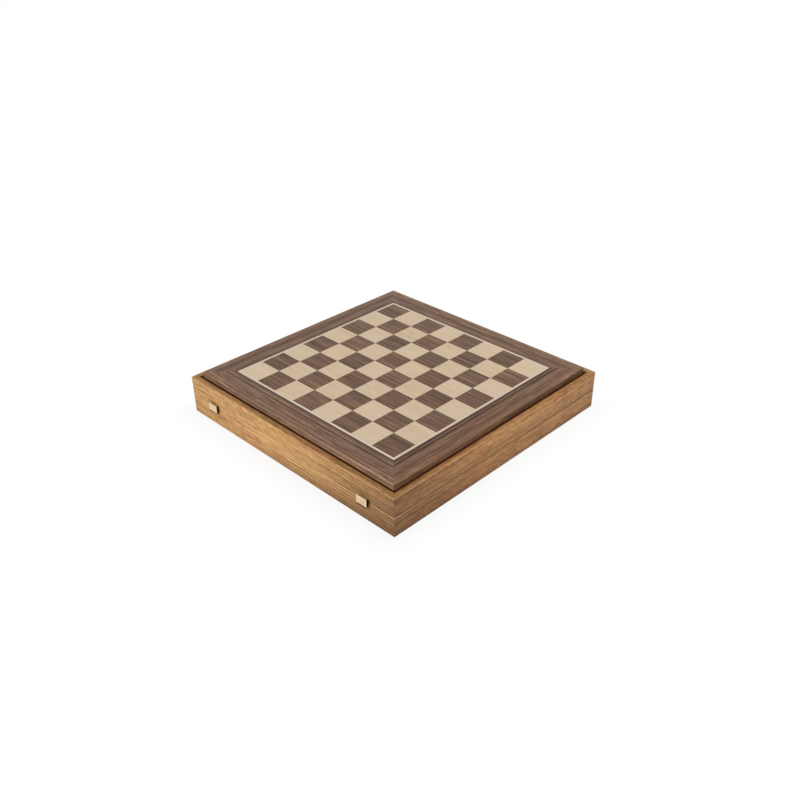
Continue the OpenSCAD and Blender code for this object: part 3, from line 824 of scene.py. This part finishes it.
FRONT_WALL = Leaf(
    # Its face darkens towards the near corner as painted shade; its rim is darker at that corner too
    1.0, Side.FRONT, upright={-213: 0.97, -60: 1.06, 0: 1.11, 60: 1.02, 110: 0.88, 160: 0.71, 213: 0.59},
    flat={-213: 1.05, -100: 0.99, 185: 1.05, 206: 0.8, 213: 0.76},
    grain=(
        Mark({-50: 1, 20: 0},
             {6: 0.95, 11: 1.1, 14: 1, 15.3: 0.78, 16.4: 1, 25: 1.08, 33: 1, 34.3: 1.18, 35.5: 1, 36.4: 1,
              37.4: 0.72, 38.4: 1, 39.2: 1, 40.2: 1.3, 41.2: 1, 42: 1, 43: 0.72, 44: 1, 50: 0.97, 55.6: 1,
              57: 1.16, 58.4: 0.95}),
        Mark({-40: 0, 20: 1},
             {4: 0.9, 8: 1, 11.6: 0.97, 12.6: 1.04, 14.4: 0.94, 15.8: 0.6, 16.9: 1, 17.6: 1, 18.5: 1.6,
              19.5: 1, 20.4: 0.98, 21.4: 0.5, 22.4: 1, 23.2: 1, 24: 1.55, 24.9: 1, 25.6: 0.98, 26.4: 0.62,
              27.3: 1}),
        Mark({-40: 0, 20: 1},
             {34.2: 1, 35.6: 0.8, 37: 1, 38.2: 1, 39.3: 0.8, 40.4: 1.04, 42.8: 1, 43.9: 0.7, 45: 1,
              46.9: 1.22, 48.2: 1, 55: 1, 56.2: 0.86, 57.6: 1}),
    ),
    fixed=(
        Mark({-213: 0.2, 0: 0.5, 100: 0.85, 213: 0.95}, LOW_HALF),
        Mark({-100: 0, -60: 0.4, -30: 1.1, 0: 1, 60: 0.8, 213: 0.4}, {3: 0.82, 11: 0.83, 13.4: 0.94, 15: 1}),
        Mark({-213: 1, -160: 0.3, -110: 0},
             {33.4: 1, 34.4: 1.1, 35.6: 0.95, 38: 0.95, 39.6: 1.05, 41.4: 1, 42.6: 0.78, 43.6: 0.8, 44.8: 1,
              51: 0.95, 58: 0.82}),
        # Darker still towards the near corner: painted shade
        Mark({60: 0, 120: 0.6, 180: 1},
             {10: 1, 12: 0.86, 14: 0.95, 20: 1, 22: 0.82, 24: 0.86, 26: 1, 31.5: 0.86, 34: 0.8, 44: 0.8,
              48: 0.97, 57: 1.05}),
        # A dark line in the seam, painted shade, with a pale band above it, painted highlight
        Mark({-213: 0.3, -150: 1.1, -60: 0.8, 0: 0.3, 213: 0},
             {28.2: 1, 28.8: 0.9, 29.2: 0.55, 29.9: 0.6, 30.5: 1.06, 31.4: 1.14, 32.2: 1}),
        Mark({-213: 0, -50: 0.1, 0: 0.45, 60: 0.95, 213: 1.1}, NEAR_SEAM_EDGE_AND_SHADE),
        Mark({-213: 0.1, 90: 0.15, 130: 0.7, 182: 0.8, 187: 0.1, 195: 0.1, 199: 1}, RIM_EDGE_WEAR_AND_HIGHLIGHT),
    ),
)
RIGHT_WALL = Leaf(
    # Its face darkens towards the near corner as painted shade; its rim is darker at that corner too
    2.3, Side.RIGHT, upright={-213: 0.575, -150: 0.7, -100: 0.81, -50: 0.94, 0: 0.99, 120: 0.91, 213: 0.87},
    flat={-213: 0.71, -205: 0.83, -120: 1.03, 0: 1.18, 213: 1.12},
    grain=(
        Mark({-30: 1, 30: 0},
             {3: 0.92, 12: 1, 18.6: 1, 19.8: 0.8, 21.2: 1, 22.2: 1, 23.6: 1.5, 24.8: 1, 25.2: 1, 26.2: 0.7,
              27.2: 1, 33.2: 1, 34.4: 1.22, 35.6: 1, 37.8: 1, 38.8: 0.8, 39.8: 1, 42.4: 1, 43.4: 1.2, 44.4: 1,
              46.4: 1, 47.5: 0.8, 48.6: 1, 52: 1, 53: 1.18, 54.2: 1, 55.8: 0.95, 57: 0.7, 58.4: 1}),
        Mark({-30: 0, 30: 1},
             {3: 0.92, 8: 1, 19.6: 1, 20.8: 0.84, 22: 1, 24.8: 1, 26: 1.2, 27.2: 1, 31.4: 1, 32.8: 1.22,
              34.2: 1, 37.2: 1, 38.3: 0.84, 39.2: 0.96, 40.2: 0.74, 41.3: 1, 43.6: 1.14, 45.4: 1, 47: 0.9,
              48.4: 1, 51.4: 1, 52.6: 1.2, 53.8: 1, 54.6: 1, 55.6: 0.8, 56.8: 1}),
    ),
    fixed=(
        Mark({-213: 1, 0: 0.95, 100: 0.6, 213: 0.5}, LOW_HALF),
        # A painted shadow of the board along the inner edge of the rim
        Mark({-213: 1.2, 0: 0.8, 213: 0.6}, {204: 0.5, 205.4: 0.72, 207.4: 1}, Lie.FLAT),
        Mark({-213: 1, -60: 0.9, 0: 0.4, 50: 0}, NEAR_SEAM_EDGE_AND_SHADE),
        # A dark band in and above the seam, strongest away from the near corner: painted shade
        Mark({-213: 0.1, -140: 0.3, -60: 0.9, 60: 1.3, 213: 1.4},
             {26: 1, 27.4: 0.93, 28.2: 0.45, 28.8: 0.32, 30.4: 0.32, 31: 0.6, 31.8: 0.92, 32.6: 1, 33.6: 0.92,
              34.8: 0.78, 36: 0.84, 37.4: 1}),
        # Darkest at the foot next to the floor, painted shade, with broad tones above
        Mark({-80: 0, -30: 0.9, 130: 1, 213: 0.6},
             {1: 0.78, 5: 0.86, 10: 0.9, 14: 1.06, 25: 1.08, 27: 1, 38: 1, 40.4: 0.86, 44.6: 0.82, 47.6: 1,
              50: 1.2, 55: 1.2, 57.4: 1.24, 58.8: 1.1}),
        Mark({-213: 1, -172: 0.9, -150: 0.4, -60: 0.2, 213: 0.1}, RIM_EDGE_WEAR_AND_HIGHLIGHT),
    ),
    tint=(1.06, 0.98, 0.97),
)
BACK_WALL = Leaf(
    3.1, Side.BACK, upright={-213: 0.98, 0: 0.94, 120: 1, 213: 0.9},
    grain=(
        Mark({-213: 1, 213: 0.5},
             {6: 1, 8: 0.78, 10: 1.15, 12: 1, 20.6: 1, 22: 0.7, 23.4: 1.2, 25: 1, 34.8: 1, 36.2: 0.74,
              38: 1.24, 40: 1, 48.6: 1, 50: 0.8, 52: 1, 54: 1.12}),
    ),
    fixed=(Mark(EVEN, SEAM_EDGE_AND_SHADE),),
)
LEFT_WALL = Leaf(
    4.7, Side.LEFT, upright={-213: 0.9, -100: 1, 100: 1.02, 213: 0.95},
    grain=(
        Mark({-213: 0.6, 213: 1},
             {4: 0.92, 7.5: 1.06, 14.6: 1, 16: 0.72, 17.6: 1.2, 19.4: 1, 32.8: 1, 34: 0.76, 35.6: 1.22,
              37.2: 1, 41.8: 1, 43: 0.74, 44.6: 1.2, 46: 1, 52: 0.95}),
    ),
    fixed=(Mark(EVEN, SEAM_EDGE_AND_SHADE),),
)
WALL_LEAVES = (FRONT_WALL, RIGHT_WALL, BACK_WALL, LEFT_WALL)
FRONT_RAIL = Leaf(
    11.0, Side.FRONT, upright={-200: 0.9, -60: 0.96, 20: 1.12, 60: 1.28, 200: 1.24},
    flat={-200: 1.02, 200: 1},
    grain=(
        Mark(EVEN,
             {164.3: 0.4, 165.8: 0.35, 166.8: 0.86, 169.2: 0.98, 169.9: 0.8, 170.8: 1.75, 171.5: 0.9,
              172.3: 1.95, 173.2: 1, 174.3: 0.3, 175.4: 0.52, 176.6: 0.78, 178.6: 1.02, 181: 1.08, 184.5: 1.1,
              187.2: 1.2, 188.2: 1.35, 189.2: 0.98, 190.3: 0.36, 191.3: 0.96, 192.6: 1.55, 193.6: 1,
              196.3: 0.98, 197.6: 0.58, 198.6: 0.95, 199.3: 1.2}, Lie.FLAT),
    ),
    fixed=(
        # A pale line along the top edge near the corner: part wear, part painted highlight
        Mark({-200: 0, 60: 0.2, 130: 1}, {198.6: 1, 199.2: 1.85, 199.8: 2}, Lie.FLAT),
        # Lighter low down, painted light against the shade in the gap, and under the top edge, a painted
        # highlight
        Mark(EVEN, {57.6: 1.25, 59.5: 1.2, 61.5: 1.05, 63.5: 0.98, 65.5: 1.02, 66.6: 1.2, 67.5: 1}),
    ),
)
RIGHT_RAIL = Leaf(
    11.0, Side.RIGHT, upright={-200: 1, -60: 1.16, -20: 1, 30: 0.76, 200: 0.7},
    flat={-200: 0.9, 100: 0.92, 200: 1},
    grain=(
        Mark(EVEN,
             {164.3: 0.7, 165.2: 0.85, 166: 0.15, 167.2: 0.36, 168.2: 1, 170.6: 1.08, 171.8: 0.12, 173: 0.38,
              174.4: 0.84, 177.5: 1.07, 184.5: 1.14, 186.4: 1.16, 187.5: 0.26, 188.6: 1.14, 190.3: 1.04,
              191.3: 0.5, 192.3: 1.1, 196: 0.98, 197.6: 1.3, 199.4: 0.9}, Lie.FLAT),
    ),
    # Lighter low down, painted light against the shade in the gap, and under the top edge, a painted
    # highlight
    fixed=(Mark(EVEN, {57.6: 1.32, 59.5: 1.2, 61: 1.06, 63: 0.97, 65: 1.08, 67: 1.32}),),
    tint=(1.03, 0.97, 0.87),
)
BACK_RAIL = Leaf(
    11.0, Side.BACK,
    grain=(
        Mark(EVEN,
             {164.3: 0.95, 165.6: 0.66, 167.4: 1, 171: 1, 172.2: 1.6, 173.4: 1, 176.6: 0.74, 183.6: 0.72,
              185.6: 0.95, 187.2: 1.7, 188.8: 1.1, 192: 0.8, 193.2: 1, 196: 1.05, 198.5: 1.15}, Lie.FLAT),
    ),
)
LEFT_RAIL = Leaf(
    11.0, Side.LEFT, flat={-200: 0.88, 200: 0.84},
    grain=(
        Mark(EVEN,
             {164.3: 0.9, 165.6: 0.6, 167.4: 1, 172: 1.05, 173.4: 1.6, 174.8: 1, 178: 1.05, 184.6: 0.84,
              186: 0.6, 187.6: 0.95, 191.4: 1, 192.6: 1.45, 193.8: 1.05, 199: 1.1}, Lie.FLAT),
    ),
)
RAIL_LEAVES = (FRONT_RAIL, RIGHT_RAIL, BACK_RAIL, LEFT_RAIL)


# ---- Pieces ----


@dataclass(frozen=True)
class EasedEdge:
    """How far the sharp edges of a piece are rounded over."""

    width: float
    segments: int = 2
    sharp_deg: float = 25.0
    smooth_deg: float = 40.0


WOOD_EDGE = EasedEdge(0.25 * MM)
DIVIDER_EDGE = EasedEdge(0.6 * MM)
LEVER_EDGE = EasedEdge(0.5 * MM, 3)
BRASS_EDGE = EasedEdge(0.12 * MM)
WELD_DISTANCE = 0.002 * MM
FLAT_DEG = 1.0
# Part of the normal's height above which a face of a felt is its top or its back, not its edge
SHEET_NORMAL = 0.5


@dataclass
class SubAssembly:
    """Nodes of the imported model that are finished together."""

    effects: Effects
    pieces: list[str] = field(default_factory=list)

    def body_of(self, node: str) -> str:
        """Names the body that a node belongs to."""
        bodies = frame["record"]["behaviour"]["bodies"]
        return next(body for body, members in bodies.items() if node in members)

    def keep(self, node: str, material: bpy.types.Material) -> None:
        """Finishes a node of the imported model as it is.

        Args:
            node: The node's name.
            material: Its finish.
        """
        mesh = frame["nodes"][node].data
        mesh.materials.clear()
        mesh.materials.append(material)
        self.pieces.append(node)

    def adopt(
        self, mesh: bpy.types.Mesh, name: str, node: str, material: bpy.types.Material
    ) -> bpy.types.Object:
        """Puts a new piece in the place of a node.

        Args:
            mesh: The piece's mesh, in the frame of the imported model.
            name: The piece's name.
            node: The node that it stands for.
            material: Its finish.

        Returns:
            The piece.
        """
        piece = add_object(name, mesh)
        mesh.materials.clear()
        mesh.materials.append(material)
        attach(piece, self.body_of(node))
        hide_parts(node)
        self.pieces.append(name)
        return piece

    def ease(self, node: str, edge: EasedEdge, material: bpy.types.Material) -> bpy.types.Object:
        """Stands a copy with eased edges in the place of a rigid node.

        Args:
            node: The node's name.
            edge: How its edges are rounded over.
            material: Its finish.

        Returns:
            The piece.
        """
        shape = bmesh.new()
        shape.from_mesh(frame["nodes"][node].data)
        bmesh.ops.remove_doubles(shape, verts=shape.verts, dist=WELD_DISTANCE)
        flat, sharp, smooth = map(math.radians, (FLAT_DEG, edge.sharp_deg, edge.smooth_deg))
        bmesh.ops.dissolve_limit(shape, angle_limit=flat, verts=shape.verts, edges=shape.edges)
        bmesh.ops.bevel(
            shape,
            geom=[e for e in shape.edges if e.is_manifold and e.calc_face_angle_signed() > sharp],
            offset=edge.width,
            segments=edge.segments,
            profile=0.5,
            affect="EDGES",
            material=-1,
            clamp_overlap=True,
        )
        for face in shape.faces:
            face.smooth = True
        for rim in shape.edges:
            rim.smooth = rim.is_manifold and rim.calc_face_angle() < smooth
        name = f"eased_{node}"
        piece = self.adopt(mesh_from(shape, name), name, node, material)
        weighted = piece.modifiers.new("even_shading", "WEIGHTED_NORMAL")
        weighted.keep_sharp = True
        return piece


@dataclass
class BoxWalls(SubAssembly):
    """The mitred walls of both halves, cut from one box so that the figure runs across the seam."""

    def build(self) -> None:
        """Eases and finishes the eight walls."""
        for leaf in WALL_LEAVES:
            material = BOX_WALNUT.material(self.effects, leaf)
            for half in ("base", "lid"):
                self.ease(f"{half}_{leaf.side.word}_wall", WOOD_EDGE, material)


@dataclass
class PanelsAndDividers(SubAssembly):
    """The panels in the two halves and the dividers that part the inside."""

    def build(self) -> None:
        """Finishes the panels and dividers."""
        self.keep("base_bottom_panel", PLYWOOD.material(self.effects, Leaf(5.0)))
        self.keep("lid_panel", DARK_PANEL.material(self.effects, Leaf(6.0)))
        lengthwise = DIVIDER_WALNUT.material(self.effects, Leaf(7.0))
        crosswise = DIVIDER_WALNUT.material(self.effects, Leaf(8.0, Side.RIGHT))
        for place in ("front", "back"):
            self.ease(f"long_divider_{place}", DIVIDER_EDGE, lengthwise)
            self.ease(f"short_dividers_{place}", DIVIDER_EDGE, crosswise)


@dataclass
class FeltLinings(SubAssembly):
    """The felts on the floor of the box, under the lid's panel and under the board."""

    cells: int = 90
    wave: float = 0.05 * MM
    wave_pitch: float = 35 * MM

    def build(self) -> None:
        """Lays the three felts."""
        material = GREEN_FELT.material()
        self._lay("base_floor_felt", "floor_felt", "base_bottom_panel", 1, material)
        self._lay("lid_felt", "ceiling_felt", "lid_panel", -1, material)
        self._lay("board_felt", "underside_felt", "board_core", -1, material)

    def _lay(self, node: str, name: str, support: str, up: int, material: bpy.types.Material) -> None:
        """Lays one felt on what carries it.

        Args:
            node: The plain solid that it stands for.
            name: The felt's name.
            support: The node that it is glued to. Not used.
            up: 1 if its pile faces up, -1 if it faces down.
            material: Its finish.
        """
        low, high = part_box(node)
        size, centre = high - low, (low + high) / 2
        cloth = bmesh.new()
        bmesh.ops.create_grid(cloth, x_segments=self.cells, y_segments=self.cells, size=0.5)
        bmesh.ops.scale(cloth, vec=(size.x, size.y, 1.0), verts=cloth.verts)
        glued, pile = (low.z, high.z) if up > 0 else (high.z, low.z)
        sheet = bmesh.ops.extrude_face_region(cloth, geom=cloth.faces[:])
        top = {part for part in sheet["geom"] if isinstance(part, bmesh.types.BMVert)}
        for point in cloth.verts:
            ripple = abs(noise.noise(Vector((point.co.x, point.co.y, 0.0)) / self.wave_pitch))
            point.co.z = pile - up * ripple * self.wave if point in top else glued
        bmesh.ops.translate(cloth, vec=(centre.x, centre.y, 0.0), verts=cloth.verts)
        bmesh.ops.recalc_face_normals(cloth, faces=cloth.faces)
        for face in cloth.faces:
            face.smooth = abs(face.normal.z) > SHEET_NORMAL
        piece = self.adopt(mesh_from(cloth, name), name, node, material)


@dataclass
class Board(SubAssembly):
    """The loose board: four mitred rails, the light line, the squares and the core."""

    def build(self) -> None:
        """Finishes the board."""
        for leaf in RAIL_LEAVES:
            self.ease(f"board_{leaf.side.word}_rail", WOOD_EDGE, BOARD_WALNUT.material(self.effects, leaf))
        self.keep("board_line", MAPLE_LINE.material(self.effects, Leaf(12.0, fixed=(GLUE_JOINTS,))))
        self.keep("board_light_squares", LIGHT_SQUARES.material(self.effects, Leaf(13.0)))
        self.keep("board_dark_squares", DARK_SQUARES.material(self.effects, Leaf(14.0)))
        self.keep("board_core", PLYWOOD.material(self.effects, Leaf(15.0)))


@dataclass
class Hinges(SubAssembly):
    """The stop hinges: leaves, pins and wood screws."""

    def build(self) -> None:
        """Eases and finishes the hinges."""
        material = HINGE_BRASS.material()
        for hand in ("left", "right"):
            for node in (f"hinge_base_leaf_{hand}", f"hinge_lid_leaf_{hand}", f"hinge_pin_{hand}"):
                self.ease(node, BRASS_EDGE, material)
        for node in ("hinge_base_screws", "hinge_lid_screws"):
            self.ease(node, BRASS_EDGE, material)


@dataclass
class Latches(SubAssembly):
    """The snap latches: levers, plates, pins, strikes and screws."""

    def build(self) -> None:
        """Eases and finishes the latches."""
        face = LATCH_BRASS.material()
        fittings = HINGE_BRASS.material()
        for hand in ("left", "right"):
            self.ease(f"latch_lever_{hand}", LEVER_EDGE, face)
            for part in ("plate", "pin", "strike"):
                self.ease(f"latch_{part}_{hand}", BRASS_EDGE, fittings)
        for node in ("latch_plate_screws", "latch_strike_screws"):
            self.ease(node, BRASS_EDGE, fittings)


# ---- Studio ----


def point(item: bpy.types.Object, place: Vector, aim: Vector, roll_deg: float = 0.0) -> None:
    """Puts a camera or lamp in its place and points it.

    Args:
        item: The camera or lamp.
        place: Where it goes.
        aim: The point that it faces.
        roll_deg: How far it is rolled about its line of sight, in degrees.
    """
    item.location = place
    item.rotation_mode = "QUATERNION"
    roll = Quaternion((0.0, 0.0, 1.0), math.radians(roll_deg))
    item.rotation_quaternion = (aim - place).to_track_quat("-Z", "Y") @ roll


@dataclass
class PhotoCamera:
    """The camera where the photograph was taken from."""

    place: Vector = field(default_factory=lambda: Vector((0.80803, -0.7987, 0.71066)))
    aim: Vector = field(default_factory=lambda: Vector((0.08614, -0.07355, 0.08373)))
    roll_deg: float = -0.593
    focal_mm: float = 39.51
    sensor_mm: float = 36.0

    def build(self) -> None:
        """Makes the camera and gives it to the scene."""
        lens = bpy.data.cameras.new("photo_camera")
        lens.sensor_width = self.sensor_mm
        lens.lens = self.focal_mm
        camera = add_object("photo_camera", lens)
        point(camera, self.place, self.aim, self.roll_deg)
        bpy.context.scene.camera = camera


@dataclass(frozen=True)
class Softbox:
    """A square soft lamp that is aimed at the box."""

    name: str
    place: Vector
    size: float
    power: float

    def build(self, aim: Vector) -> None:
        """Hangs the lamp.

        Args:
            aim: The point that it faces.
        """
        light = bpy.data.lights.new(self.name, "AREA")
        light.size = self.size
        light.energy = self.power
        point(add_object(self.name, light), self.place, aim)


@dataclass
class Studio:
    """A white sweep, soft lamps and even light from all round."""

    floor_radius: float = 9.0
    ambient: float = 0.35
    shadow_reach: float = 35 * MM
    shadow_share: float = 0.11
    paper: float = 0.94
    aim: Vector = field(default_factory=lambda: Vector((0.0, 0.0, 0.03)))
    lamps: tuple[Softbox, ...] = (
        Softbox("front_softbox", Vector((-0.72, -1.6, 0.56)), 0.8, 17.0),
        Softbox("back_softbox", Vector((1.05, 1.5, 1.2)), 0.9, 19.0),
    )

    def build(self) -> None:
        """Lights the scene and lays the floor."""
        bpy.context.scene.view_settings.view_transform = "Standard"
        for lamp in self.lamps:
            lamp.build(self.aim)
        self._surround()
        self._floor()

    def _seen_directly(self, graph: Graph) -> Socket:
        """Mask of rays that come straight from the camera, or by a reflection or through glass."""
        path = graph.add("LightPath").outputs
        seen = (path[f"Is {kind} Ray"] for kind in ("Glossy", "Transmission", "Camera"))
        return reduce(lambda first, second: graph.math("MAXIMUM", first, second), seen)

    def _surround(self) -> None:
        """Builds the world: white to the eye, and even light of its own strength on the box."""
        world = bpy.data.worlds.new("studio_surround")
        graph = Graph.of(world)
        strength = graph.math("MULTIPLY_ADD", self._seen_directly(graph), 1.0 - self.ambient, self.ambient)
        light = graph.add("Background", {"Color": (1.0, 1.0, 1.0), "Strength": strength})
        graph.add("OutputWorld", {"Surface": light.outputs[0]})
        bpy.context.scene.world = world

    def _floor(self) -> None:
        """Builds the floor: white, with the shadow of the box close round it."""
        shape = bmesh.new()
        bmesh.ops.create_circle(shape, cap_ends=True, segments=64, radius=self.floor_radius)
        floor = add_object("studio_floor", mesh_from(shape, "studio_floor"))
        material = bpy.data.materials.new("floor_paper")
        graph = Graph.of(material)
        where = graph.add("TexCoord")
        x, y, _ = graph.split(graph.vector("ABSOLUTE", where.outputs["Object"]))
        low, high = CAD_BOX
        sides = ((x, high[0]), (y, -low[1]))
        beyond = (graph.math("MAXIMUM", graph.minus(value, edge), 0.0) for value, edge in sides)
        away = graph.combine(*beyond, 0.0)
        gap = graph.add("VectorMath", {0: away}, operation="LENGTH").outputs["Value"]
        white = graph.remap(gap, 0.0, self.shadow_reach, 1.0 - self.shadow_share, 1.0)
        white = graph.times(white, self._seen_directly(graph))
        paper = graph.add("BsdfDiffuse", {"Color": (self.paper,) * 3})
        glow = graph.add("Emission", {"Color": (1.0, 1.0, 1.0), "Strength": 1.0})
        mixed = graph.add("MixShader", {0: white, 1: paper.outputs[0], 2: glow.outputs[0]})
        graph.add("OutputMaterial", {"Surface": mixed.outputs[0]})
        floor.data.materials.append(material)


def main() -> None:
    """Builds the camera, the studio and every sub-assembly, and reports each piece."""
    logging.basicConfig(level=logging.INFO, format="%(name)s: %(message)s")
    PhotoCamera().build()
    Studio().build()
    effects = Effects()
    for kind in (BoxWalls, PanelsAndDividers, FeltLinings, Board, Hinges, Latches):
        assembly = kind(effects)
        assembly.build()
        for piece in assembly.pieces:
            LOG.info("%s: %s", kind.__name__, piece)


if __name__ == "__main__":
    main()
